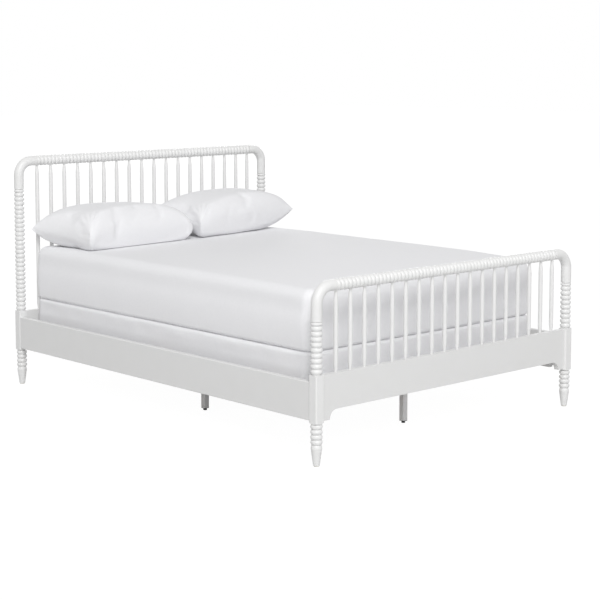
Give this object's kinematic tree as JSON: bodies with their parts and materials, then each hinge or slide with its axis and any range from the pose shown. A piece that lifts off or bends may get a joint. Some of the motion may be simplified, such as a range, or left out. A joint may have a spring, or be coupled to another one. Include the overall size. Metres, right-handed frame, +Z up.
{
  "type": "spindle bed",
  "caption": "Painted wooden bed with ring-turned posts and top rails, slim spindles, side rails on hooks, slats, floor legs, box spring, mattress and pillows.",
  "frame": {"origin": "on the floor, midway between the four posts", "axes": "+Z up, +Y from the footboard to the headboard, +X to the right as seen from the foot"},
  "size_m": [1.505, 2.017, 1.0445],
  "materials": {
    "painted_turning": "white satin lacquer",
    "painted_spindle": "white satin lacquer",
    "painted_board": "white satin lacquer",
    "bare_wood": "planed, unfinished",
    "leg_steel": "grey powder coat",
    "zinc_steel": "zinc plated",
    "black_plastic": "moulded",
    "nylon": "moulded",
    "box_spring_ticking": "woven cover",
    "mattress_ticking": "knitted cover",
    "pillow_cotton": "plain woven cotton"
  },
  "bodies": {
    "bed_frame": {"headboard_left_post": "painted_turning", "headboard_right_post": "painted_turning", "headboard_left_elbow": "painted_turning", "headboard_right_elbow": "painted_turning", "headboard_top_rail": "painted_turning", "headboard_panel": "painted_board", "headboard_spindle_pair_1": "painted_spindle", "headboard_spindle_pair_2": "painted_spindle", "headboard_spindle_pair_3": "painted_spindle", "headboard_spindle_pair_4": "painted_spindle", "headboard_spindle_pair_5": "painted_spindle", "headboard_spindle_pair_6": "painted_spindle", "headboard_spindle_pair_7": "painted_spindle", "headboard_spindle_pair_8": "painted_spindle", "headboard_spindle_pair_9": "painted_spindle", "footboard_left_post": "painted_turning", "footboard_right_post": "painted_turning", "footboard_left_elbow": "painted_turning", "footboard_right_elbow": "painted_turning", "footboard_top_rail": "painted_turning", "footboard_panel": "painted_board", "footboard_spindle_pair_1": "painted_spindle", "footboard_spindle_pair_2": "painted_spindle", "footboard_spindle_pair_3": "painted_spindle", "footboard_spindle_pair_4": "painted_spindle", "footboard_spindle_pair_5": "painted_spindle", "footboard_spindle_pair_6": "painted_spindle", "footboard_spindle_pair_7": "painted_spindle", "footboard_spindle_pair_8": "painted_spindle", "footboard_spindle_pair_9": "painted_spindle", "left_side_rail": "painted_board", "right_side_rail": "painted_board", "left_ledger": "painted_board", "right_ledger": "painted_board", "foot_slat": "bare_wood", "middle_slat": "bare_wood", "head_slat": "bare_wood", "foot_floor_leg": "leg_steel", "middle_left_floor_leg": "leg_steel", "middle_right_floor_leg": "leg_steel", "head_floor_leg": "leg_steel", "leg_inserts": "black_plastic", "rail_hook_plates": "zinc_steel", "post_hook_plates": "zinc_steel", "hook_plate_screws": "zinc_steel", "ledger_screws": "zinc_steel", "slat_screws": "zinc_steel", "leg_screws": "zinc_steel", "elbow_dowels": "bare_wood", "foot_glides": "nylon"},
    "foot_leveller": {"foot_levelling_foot": "black_plastic"},
    "middle_left_leveller": {"middle_left_levelling_foot": "black_plastic"},
    "middle_right_leveller": {"middle_right_levelling_foot": "black_plastic"},
    "head_leveller": {"head_levelling_foot": "black_plastic"},
    "box_spring_body": {"box_spring": "box_spring_ticking"},
    "mattress_body": {"mattress": "mattress_ticking"},
    "left_pillow_body": {"left_pillow": "pillow_cotton"},
    "right_pillow_body": {"right_pillow": "pillow_cotton"}
  },
  "joints": [
    {"name": "foot_foot_adjust", "type": "slide", "parent": "bed_frame", "child": "foot_leveller", "axis": [0, 0, 1], "range_m": [-0.008, 0.002]},
    {"name": "middle_left_foot_adjust", "type": "slide", "parent": "bed_frame", "child": "middle_left_leveller", "axis": [0, 0, 1], "range_m": [-0.008, 0.002]},
    {"name": "middle_right_foot_adjust", "type": "slide", "parent": "bed_frame", "child": "middle_right_leveller", "axis": [0, 0, 1], "range_m": [-0.008, 0.002]},
    {"name": "head_foot_adjust", "type": "slide", "parent": "bed_frame", "child": "head_leveller", "axis": [0, 0, 1], "range_m": [-0.008, 0.002]},
    {"name": "box_spring_lift", "type": "slide", "parent": "bed_frame", "child": "box_spring_body", "axis": [0, 0, 1], "range_m": [0, 0.13]},
    {"name": "mattress_lift", "type": "slide", "parent": "box_spring_body", "child": "mattress_body", "axis": [0, 0, 1], "range_m": [0, 0.15]},
    {"name": "left_pillow_lift", "type": "slide", "parent": "mattress_body", "child": "left_pillow_body", "axis": [0, 0, 1], "range_m": [0, 0.15]},
    {"name": "right_pillow_lift", "type": "slide", "parent": "mattress_body", "child": "right_pillow_body", "axis": [0, 0, 1], "range_m": [0, 0.15]}
  ]
}
